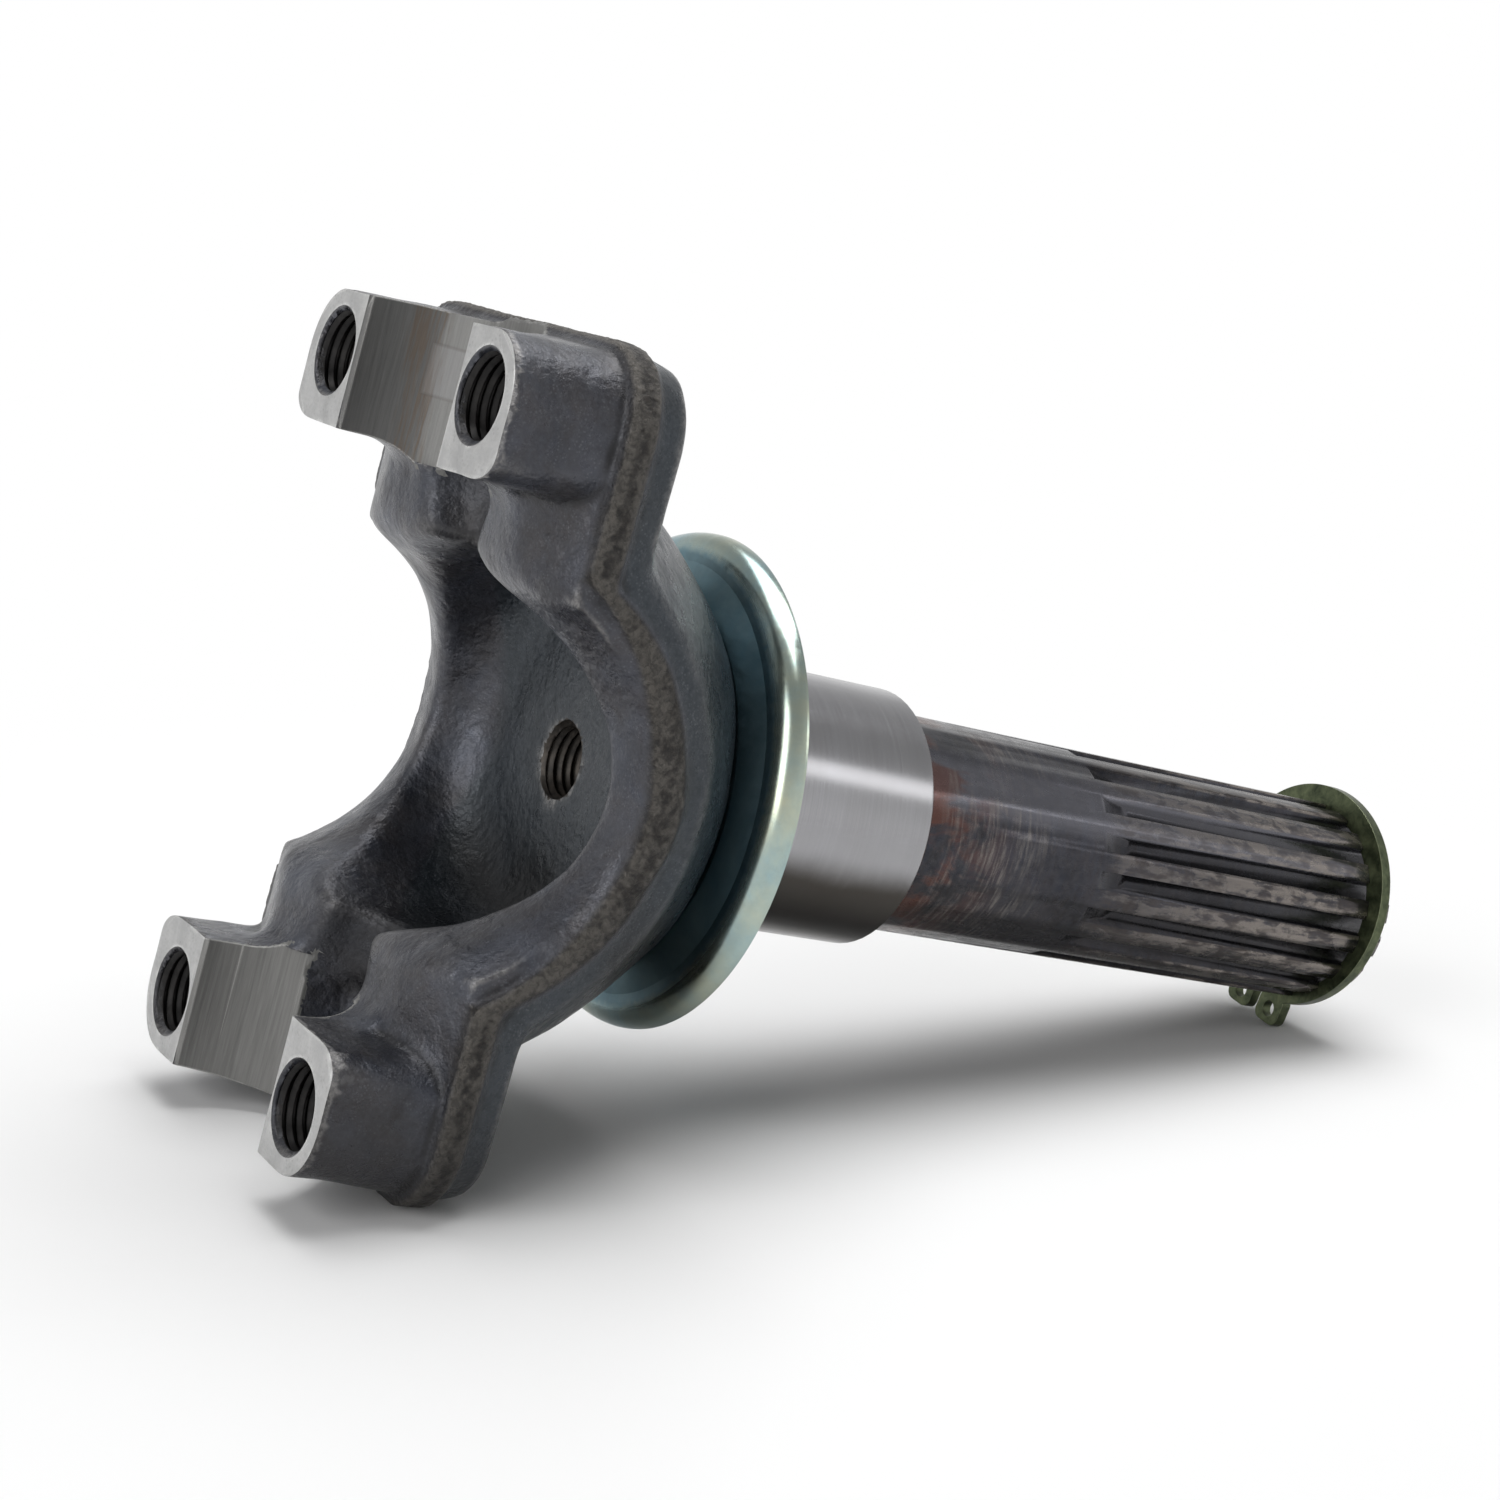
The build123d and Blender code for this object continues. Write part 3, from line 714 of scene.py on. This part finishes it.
def forging_blank():
    """The head as it is before machining: with stock on its tips, and its saddles and holes filled."""
    shape = own_copy()
    cut_flat(shape, (STUB_X, 0, 0), (1, 0, 0))
    for vert in shape.verts:
        if vert.co.x < 0.45 and abs(vert.co.z) > SADDLE_INNER_Z:
            vert.co.x = -TIP_STOCK
    plugs = []
    for side in (1, -1):
        for side_y in (1, -1):
            y, z = side_y * BOLT_Y, side * BOLT_Z
            plugs.append(cylinder((-TIP_STOCK, y, z), (BACK_X - 1, y, z), BOLT_RADIUS + HOLE_GRIP, 32))
        inner, middle, outer = SADDLE_INNER_Z - 0.5, EAR_INNER_Z, EAR_OUTER_Z + 2
        upper = cylinder((0, 0, side * middle), (0, 0, side * outer), SADDLE_RADIUS + SADDLE_GRIP)
        cut_flat(upper, (PARTING_X, 0, side * EAR_OUTER_Z), (-sin(EAR_DRAFT), 0, side * cos(EAR_DRAFT)))
        cut_flat(upper, (-TIP_STOCK, 0, 0), (-1, 0, 0))
        lower = cylinder((0, 0, side * inner), (0, 0, side * (middle + 1)), SADDLE_RADIUS + SADDLE_GRIP)
        cut_flat(lower, (LEDGE_X - 0.7, 0, 0), (-1, 0, 0))
        plugs += [upper, lower]
    start, end = (BOWL_FLOOR_X + 0.1, 0, 0), (STUB_X - 1, 0, 0)
    plugs.append(cylinder(start, end, CENTRE_HOLE_RADIUS + HOLE_GRIP, 32))
    return join(shape, *plugs)


def tap(radius, pitch, depth, length, segments=24):
    """Threaded cutter along X from the origin: a helix of pointed grooves round a plain core."""
    shape = bmesh.new()
    turns = int(length / pitch) + 1
    profile = []
    for turn in range(turns):
        for part, height in ((0.0, 0.0), (0.2, 0.0), (0.55, depth), (0.65, depth)):
            profile.append(((turn + part) * pitch, radius + height))
    profile.append((turns * pitch, radius))
    verts = [shape.verts.new((x, reach, 0)) for x, reach in profile]
    edges = [shape.edges.new(pair) for pair in zip(verts, verts[1:])]
    bmesh.ops.spin(
        shape,
        geom=verts + edges,
        cent=(0, 0, 0),
        axis=(1, 0, 0),
        dvec=(pitch / segments, 0, 0),
        angle=tau,
        steps=segments,
    )
    bmesh.ops.remove_doubles(shape, verts=shape.verts, dist=0.001)
    rim = [edge for edge in shape.edges if edge.is_boundary]
    caps = bmesh.ops.holes_fill(shape, edges=rim, sides=0)["faces"]
    bmesh.ops.triangulate(shape, faces=caps)
    bmesh.ops.recalc_face_normals(shape, faces=shape.faces)
    return shape


def saddle_mouth(side):
    """Wedge that breaks the sharp edges of a saddle where it meets the tips."""
    shape = bmesh.new()
    bmesh.ops.create_cube(shape, size=1)
    inner = SADDLE_INNER_Z - 1
    outer = EAR_OUTER_Z + 3
    for vert in shape.verts:
        deep = vert.co.x > 0
        half = SADDLE_RADIUS - 0.02 if deep else SADDLE_RADIUS + MOUTH + 1
        vert.co.x = MOUTH if deep else -1
        vert.co.y = half if vert.co.y > 0 else -half
        vert.co.z = side * (outer if vert.co.z * side > 0 else inner)
    bmesh.ops.triangulate(shape, faces=shape.faces)
    return shape


def moved(shape, x, y=0.0, z=0.0):
    bmesh.ops.translate(shape, vec=(x, y, z), verts=shape.verts)
    return shape


def relief(side):
    """Forged pocket under a saddle, with leaning walls and a rounded bottom."""
    shape = bmesh.new()
    bmesh.ops.create_cube(shape, size=1)
    lean = 2 * (RELIEF_FLOOR_X - RELIEF_MOUTH_X) * sin(RELIEF_DRAFT)
    for vert in shape.verts:
        deep = vert.co.x > 0
        grow = -RELIEF_INSET if deep else lean - RELIEF_INSET
        y = vert.co.y * (RELIEF_WIDTH + grow)
        z = vert.co.z * (RELIEF_OUTER_Z - RELIEF_INNER_Z + grow)
        vert.co = (RELIEF_FLOOR_X if deep else RELIEF_MOUTH_X, y, z)
    rim = RELIEF_MOUTH_X + 0.1
    bmesh.ops.bevel(
        shape,
        geom=[edge for edge in shape.edges if any(vert.co.x > rim for vert in edge.verts)],
        affect="EDGES",
        offset=RELIEF_ROUND,
        offset_type="OFFSET",
        segments=6,
        profile=0.5,
        material=-1,
    )
    bmesh.ops.triangulate(shape, faces=shape.faces)
    return moved(shape, 0, 0, side * (RELIEF_OUTER_Z + RELIEF_INNER_Z) / 2)


def valley(side):
    """Groove that leads from the bowl into the pocket under a saddle, and widens on the way."""
    shape = bmesh.new()
    length = VALLEY_FAR[0] - VALLEY_NEAR[0]
    bmesh.ops.create_cone(
        shape, cap_ends=True, cap_tris=True, segments=48, radius1=1.0, radius2=1.0, depth=length
    )
    for vert in shape.verts:
        z, deep, wide = VALLEY_FAR if vert.co.z > 0 else VALLEY_NEAR
        vert.co = (LEDGE_X + vert.co.x * deep, vert.co.y * wide, side * z)
    bmesh.ops.recalc_face_normals(shape, faces=shape.faces)
    return shape


def flash_depth(place):
    """How far a point lies within the band of trimmed flash, in millimetres; below zero outside it.

    The middle of each ear has no flash: there the skin turns into the pocket under the saddle.
    """
    x, y, z = place
    front = min(x - FLASH_FRONT_X, hypot(x - FLASH_FRONT_CENTRE_X, z) - FLASH_FRONT_RADIUS)
    base = min(hypot(y, z) - FLASH_ROOT_RADIUS, abs(y) - 15)
    out = max(abs(y) - FLASH_ROOT_Y, abs(z) - FLASH_ROOT_Z, base)
    return min(front, -parting_depth(place), out)


def parting_depth(place):
    """How far a point lies behind the parting line, in millimetres; below zero in front of it."""
    x, _, z = place
    return min(x - PARTING_X, hypot(x - PARTING_CENTRE_X, z) - PARTING_RADIUS)


def share(value, low, high):
    """Where a value lies between two others, held from 0 to 1."""
    return min(1.0, max(0.0, (value - low) / (high - low)))


def softness(place):
    """How far the forged skin is smoothed at a point, in millimetres."""
    x, y, z = place
    inside = share(abs(y), 29.3, 27.0) * share(abs(z), 34.0, 31.5)
    bowl = share(hypot(y, z), 26.5, 24.5)
    behind = 0.55 * share(x, PARTING_X + 0.6, PARTING_X + 2.5)
    front = 0.3 * share(x, FLASH_FRONT_X - 0.8, FLASH_FRONT_X - 3.0)
    pocket = 0.45 * share(abs(y), 13.0, 11.0) * share(abs(z), 47.5, 46.0) * share(x, 7.5, 9.0)
    return SOFT_FLASH + (SOFT_SKIN - SOFT_FLASH) * max(inside, bowl, behind, front, pocket)


def forged_body(sizes):
    """The forging before machining, with its pockets, smoothed and lumpy skin and torn flash."""
    body = to_object("forging", forging_blank())
    remesh(body, sizes.voxel)
    combine(body, join(relief(1), relief(-1), valley(1), valley(-1)), "DIFFERENCE", sizes.voxel)
    remesh(body, sizes.voxel)
    shape = bmesh.new()
    shape.from_mesh(body.data)
    passes = [2 * (softness(vert.co) / sizes.voxel) ** 2 for vert in shape.verts]
    for turn in range(int(max(passes))):
        chosen = [vert for vert, count in zip(shape.verts, passes) if count > turn]
        bmesh.ops.smooth_vert(
            shape, verts=chosen, factor=0.5, use_axis_x=True, use_axis_y=True, use_axis_z=True
        )
    shape.normal_update()
    for vert in shape.verts:
        lump = noise.noise(vert.co * 0.09) + 0.5 * noise.noise(vert.co * 0.23 + Vector((7, 3, 1)))
        torn = share(flash_depth(vert.co), -0.6, 0.4) * noise.fractal(vert.co * 0.9, 0.6, 2.0, 4)
        vert.co += vert.normal * (lump * LUMP + torn * TEAR)
    cut_flat(shape, (0, 0, 0), (-1, 0, 0))
    cut_flat(shape, (STUB_X - 2, 0, 0), (1, 0, 0))
    shape.to_mesh(body.data)
    shape.free()
    apply(body, "DECIMATE", ratio=sizes.kept)
    return body


def countersink(y, z):
    """Wide mouth of a tapped hole in a tip."""
    shape = cylinder((-1, 0, 0), (SINK_DEPTH, 0, 0), BOLT_RADIUS, 48)
    outer = [vert for vert in shape.verts if vert.co.x < 0]
    bmesh.ops.scale(shape, vec=(1, SINK_GROWTH, SINK_GROWTH), verts=outer)
    return moved(shape, 0, y, z)


def machined_forging(sizes):
    """The whole forging: machined surfaces are cut sharp into the forged skin, and the shaft is added."""
    body = forged_body(sizes)
    saddles, mouths, taps, sinks = [], [], [], []
    for side in (1, -1):
        start, end = (0, 0, side * SADDLE_INNER_Z), (0, 0, side * (EAR_OUTER_Z + 3))
        saddles.append(cylinder(start, end, SADDLE_RADIUS, 192))
        mouths.append(saddle_mouth(side))
        for side_y in (1, -1):
            y, z = side_y * BOLT_Y, side * BOLT_Z
            taps.append(moved(tap(BOLT_RADIUS, BOLT_PITCH, BOLT_THREAD, BACK_X + 3), -1.5, y, z))
            sinks.append(countersink(y, z))
    centre = tap(CENTRE_HOLE_RADIUS, CENTRE_PITCH, CENTRE_THREAD, CENTRE_HOLE_DEPTH - 1)
    start, end = (BOWL_FLOOR_X - 2, 0, 0), (BOWL_FLOOR_X + 0.6, 0, 0)
    centre_mouth = cylinder(start, end, CENTRE_HOLE_RADIUS + CENTRE_THREAD - 0.1, 64)
    for cutters in (saddles, mouths, taps, sinks, [moved(centre, BOWL_FLOOR_X - 1)], [centre_mouth]):
        combine(body, join(*cutters), "DIFFERENCE")
    shank = own_copy()
    cut_flat(shank, (HUB_FACE_X + 0.3, 0, 0), (-1, 0, 0))
    combine(body, shank, "UNION")
    return body


def finish_of(place, facing):
    """Which of the forging's materials a face has, by its place and how far it faces along the shaft."""
    x, y, z = place
    from_bolt = hypot(abs(y) - BOLT_Y, abs(z) - BOLT_Z)
    if SINK_DEPTH - 0.05 < x < BACK_X + 1 and from_bolt < BOLT_RADIUS + BOLT_THREAD + 0.1:
        return THREAD
    if BOWL_FLOOR_X - 0.8 < x < STUB_X + 4 and hypot(y, z) < CENTRE_HOLE_RADIUS + CENTRE_THREAD + 0.1:
        return THREAD
    if x < 0.05 and facing < -0.9:
        return TIP
    if abs(hypot(x, y) - SADDLE_RADIUS) < 0.3 and abs(z) > SADDLE_INNER_Z - 0.8 and x > 0:
        return SADDLE
    if HUB_FACE_X < x < JOURNAL_END_X - 0.6:
        return GROUND
    return SHAFT if x > HUB_FACE_X else FORGED


def mark_skin(mesh):
    """Stores on each point of a mesh its share of ridge, of flash and of what lies behind the parting line.

    A ridge of a half is level ground, more is a ridge and less a hollow.
    """
    count = len(mesh.vertices)
    place = np.empty(3 * count)
    mesh.vertices.foreach_get("co", place)
    place = place.reshape(-1, 3)
    normal = np.empty(3 * count)
    mesh.vertices.foreach_get("normal", normal)
    normal = normal.reshape(-1, 3)
    ends = np.empty(2 * len(mesh.edges), int)
    mesh.edges.foreach_get("vertices", ends)
    ends = ends.reshape(-1, 2)
    length = np.linalg.norm(place[ends[:, 0]] - place[ends[:, 1]], axis=1)
    ends = ends[length < LONG_EDGE]
    here = np.concatenate([ends[:, 0], ends[:, 1]])
    there = np.concatenate([ends[:, 1], ends[:, 0]])
    links = np.maximum(np.bincount(here, minlength=count), 1)
    level = place.copy()
    for _ in range(RIDGE_PASSES):
        near = [np.bincount(here, weights=level[there, axis], minlength=count) for axis in range(3)]
        level = 0.5 * level + 0.5 * np.stack(near, 1) / links[:, None]
    rise = ((place - level) * normal).sum(1)
    ridge = np.clip(0.5 + rise / RIDGE_RISE, 0, 1)
    flash = [share(flash_depth(point), -0.35, 0.25) for point in place]
    behind = [share(parting_depth(point), 0.0, 0.9) for point in place]
    for name, values in (("ridge", ridge), ("flash", flash), ("behind", behind)):
        stored = mesh.attributes.new(name, "FLOAT", "POINT")
        stored.data.foreach_set("value", np.asarray(values, np.float32))


# Properties, operators and panel

class YokeSizes(bpy.types.PropertyGroup):
    """What a user may change on the yoke."""

    voxel: FloatProperty(
        name="Voxel",
        description="Size of the grid that the forged surfaces are built on, in millimetres",
        default=0.45,
        min=0.3,
        max=2.0,
    )
    kept: FloatProperty(
        name="Kept",
        description="Share of the forged surface's triangles that stay after it is thinned",
        default=0.55,
        min=0.1,
        max=1.0,
        subtype="FACTOR",
    )
    scale_dark: FloatVectorProperty(
        name="Scale, dark",
        description="Darker colour of the forged skin",
        default=colour(38, 40, 47)[:3],
        subtype="COLOR",
        min=0,
        max=1,
    )
    scale_light: FloatVectorProperty(
        name="Scale, light",
        description="Lighter colour of the forged skin",
        default=colour(76, 79, 88)[:3],
        subtype="COLOR",
        min=0,
        max=1,
    )


class StageSizes(bpy.types.PropertyGroup):
    """What a user may change on the stage."""

    lens: FloatProperty(
        name="Lens",
        description="Focal length of the camera, in millimetres",
        default=65.477,
        min=10,
        max=300,
    )
    sky: FloatProperty(
        name="Sky",
        description="Strength of the light from all round",
        default=0.35,
        min=0,
        max=5,
    )


class YOKE_OT_forging(bpy.types.Operator):
    """Dresses the forging"""

    bl_idname = "yoke.forging"
    bl_label = "Forging"

    def execute(self, context):
        sizes = context.scene.yoke_sizes
        body = machined_forging(sizes)
        shape = bmesh.new()
        shape.from_mesh(body.data)
        bmesh.ops.triangulate(shape, faces=shape.faces)
        shape.normal_update()
        shape.to_mesh(body.data)
        mark_skin(body.data)
        shape.clear()
        shape.from_mesh(body.data)
        bmesh.ops.transform(shape, matrix=OWN, verts=shape.verts)
        keep_in_box(shape)
        shape.to_mesh(body.data)
        shape.free()
        body.data.shade_smooth()
        body.data.set_sharp_from_angle(angle=radians(35))
        apply(body, "WEIGHTED_NORMAL", mode="FACE_AREA", weight=100, keep_sharp=True)
        mesh = body.data
        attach(body, "root")
        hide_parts("yoke")
        mesh.materials.clear()
        mesh.materials.append(forged_material(sizes))
        for finish in (tip_material, saddle_material, thread_material, ground_material, shaft_material):
            mesh.materials.append(finish())
        back = OWN.inverted()
        turn = back.to_3x3().normalized()
        for face in mesh.polygons:
            face.material_index = finish_of(back @ face.center, (turn @ face.normal).x)
        return {"FINISHED"}


class YOKE_OT_slinger(bpy.types.Operator):
    """Dresses the dust slinger"""

    bl_idname = "yoke.slinger"
    bl_label = "Dust slinger"

    def execute(self, context):
        mesh = frame["nodes"]["dust_slinger"].data
        mesh.materials.clear()
        mesh.materials.append(zinc_material())
        return {"FINISHED"}


class YOKE_OT_ring(bpy.types.Operator):
    """Dresses the retaining ring"""

    bl_idname = "yoke.ring"
    bl_label = "Retaining ring"

    def execute(self, context):
        mesh = frame["nodes"]["retaining_ring"].data
        mesh.materials.clear()
        mesh.materials.append(ring_material())
        return {"FINISHED"}


class YOKE_OT_stage(bpy.types.Operator):
    """Builds the floor, the light and the camera"""

    bl_idname = "yoke.stage"
    bl_label = "Stage"

    def execute(self, context):
        sizes = context.scene.yoke_stage
        scene = context.scene
        scene.view_settings.view_transform = "Standard"
        build_floor(scene)
        build_world(scene, sizes)
        build_lamps(scene)
        build_camera(scene, sizes)
        return {"FINISHED"}


def seen_directly(wiring):
    """1 for what is seen straight, in a reflection or through glass, 0 for light that is scattered."""
    path = wiring.node("ShaderNodeLightPath").outputs
    seen = wiring.math("MAXIMUM", path["Is Camera Ray"], path["Is Glossy Ray"])
    return wiring.math("MAXIMUM", seen, path["Is Transmission Ray"])


def build_floor(scene):
    """Pale floor that runs out of sight."""
    shape = bmesh.new()
    bmesh.ops.create_grid(shape, x_segments=1, y_segments=1, size=FLOOR_HALF)
    mesh = bpy.data.meshes.new("floor")
    shape.to_mesh(mesh)
    shape.free()
    floor = bpy.data.objects.new("floor", mesh)
    scene.collection.objects.link(floor)
    material = bpy.data.materials.new("floor")
    material.use_nodes = True
    material.node_tree.nodes.clear()
    wiring = Wiring(material.node_tree)
    end = wiring.node("ShaderNodeOutputMaterial")
    near = wiring.node("ShaderNodeBsdfDiffuse", {"Color": (0.9, 0.9, 0.9, 1)})
    far = wiring.node("ShaderNodeEmission", {"Color": (1, 1, 1, 1), "Strength": 1.0})
    place = wiring.node("ShaderNodeTexCoord").outputs["Object"]
    reach = wiring.node("ShaderNodeVectorMath", {0: place}, operation="LENGTH").outputs["Value"]
    share_far = wiring.times(wiring.ramp(reach, FLOOR_NEAR, FLOOR_FAR), seen_directly(wiring))
    both = wiring.node("ShaderNodeMixShader", {0: share_far, 1: near.outputs[0], 2: far.outputs[0]})
    wiring.tree.links.new(both.outputs[0], end.inputs[0])
    mesh.materials.append(material)


def build_world(scene, sizes):
    """White all round to the camera and in reflections, and an even light on the object."""
    world = bpy.data.worlds.new("studio")
    scene.world = world
    world.use_nodes = True
    world.node_tree.nodes.clear()
    wiring = Wiring(world.node_tree)
    end = wiring.node("ShaderNodeOutputWorld")
    path = wiring.node("ShaderNodeLightPath").outputs
    strength = wiring.ramp(seen_directly(wiring), 0.0, 1.0, sizes.sky, 1.0)
    way = wiring.split(wiring.node("ShaderNodeTexCoord").outputs["Generated"])
    rise = wiring.ramp(way[2], -0.1, 0.9, 1.0, 0.35)
    shade = wiring.mix(path["Is Camera Ray"], wiring.join(rise, rise, rise), (1, 1, 1, 1))
    light = wiring.node("ShaderNodeBackground", {"Color": shade, "Strength": strength})
    wiring.tree.links.new(light.outputs[0], end.inputs[0])


def add_lamp(scene, name, place, aim, size, power):
    """Soft light at place that shines at aim; size is its width and height."""
    lamp = bpy.data.lights.new(name, "AREA")
    lamp.shape = "RECTANGLE"
    lamp.size, lamp.size_y = size
    lamp.energy = power
    thing = bpy.data.objects.new(name, lamp)
    thing.location = place
    thing.rotation_euler = (Vector(aim) - Vector(place)).to_track_quat("-Z", "Y").to_euler()
    scene.collection.objects.link(thing)


def build_lamps(scene):
    """A large soft light overhead, one from the left before the bowl, and a low band from the right."""
    middle = (0, 0, 0.05)
    add_lamp(scene, "over", (0.16, 0.12, 0.9), middle, (0.8, 0.8), 8.5)
    add_lamp(scene, "left", (-0.9, -0.25, 0.55), middle, (0.7, 0.7), 4.5)
    add_lamp(scene, "right", (0.68, -0.61, 0.44), middle, (0.34, 0.17), 0.38)


def build_camera(scene, sizes):
    """Camera at the photograph's place."""
    right = Vector(CAMERA_RIGHT).normalized()
    forward = Vector(CAMERA_FORWARD).normalized()
    up = right.cross(forward).normalized()
    right = forward.cross(up)
    turn = Matrix((right, up, -forward)).transposed()
    lens = bpy.data.cameras.new("camera")
    lens.sensor_width = 36
    lens.lens = sizes.lens
    lens.clip_start = 0.01
    camera = bpy.data.objects.new("camera", lens)
    own_turn = Matrix.Rotation(TILT, 3, "Y")
    camera.matrix_world = Matrix.Translation(OWN @ Vector(CAMERA_PLACE)) @ (own_turn @ turn).to_4x4()
    scene.collection.objects.link(camera)
    scene.camera = camera


class YOKE_PT_panel(bpy.types.Panel):
    """Lists the yoke's pieces"""

    bl_idname = "YOKE_PT_panel"
    bl_label = "Forged end yoke"
    bl_space_type = "VIEW_3D"
    bl_region_type = "UI"
    bl_category = "Yoke"

    def draw(self, context):
        sizes = context.scene.yoke_sizes
        stage = context.scene.yoke_stage
        for name in ("voxel", "kept", "scale_dark", "scale_light"):
            self.layout.prop(sizes, name)
        for name in ("lens", "sky"):
            self.layout.prop(stage, name)
        for operator in OPERATORS:
            self.layout.operator(operator.bl_idname)


OPERATORS = (YOKE_OT_forging, YOKE_OT_slinger, YOKE_OT_ring, YOKE_OT_stage)
CLASSES = (YokeSizes, StageSizes) + OPERATORS + (YOKE_PT_panel,)


def register():
    for item in CLASSES:
        bpy.utils.register_class(item)
    bpy.types.Scene.yoke_sizes = PointerProperty(type=YokeSizes)
    bpy.types.Scene.yoke_stage = PointerProperty(type=StageSizes)


def unregister():
    del bpy.types.Scene.yoke_stage
    del bpy.types.Scene.yoke_sizes
    for item in reversed(CLASSES):
        bpy.utils.unregister_class(item)


def main():
    register()
    bpy.ops.yoke.forging()
    bpy.ops.yoke.slinger()
    bpy.ops.yoke.ring()
    bpy.ops.yoke.stage()


if __name__ == "__main__":
    main()
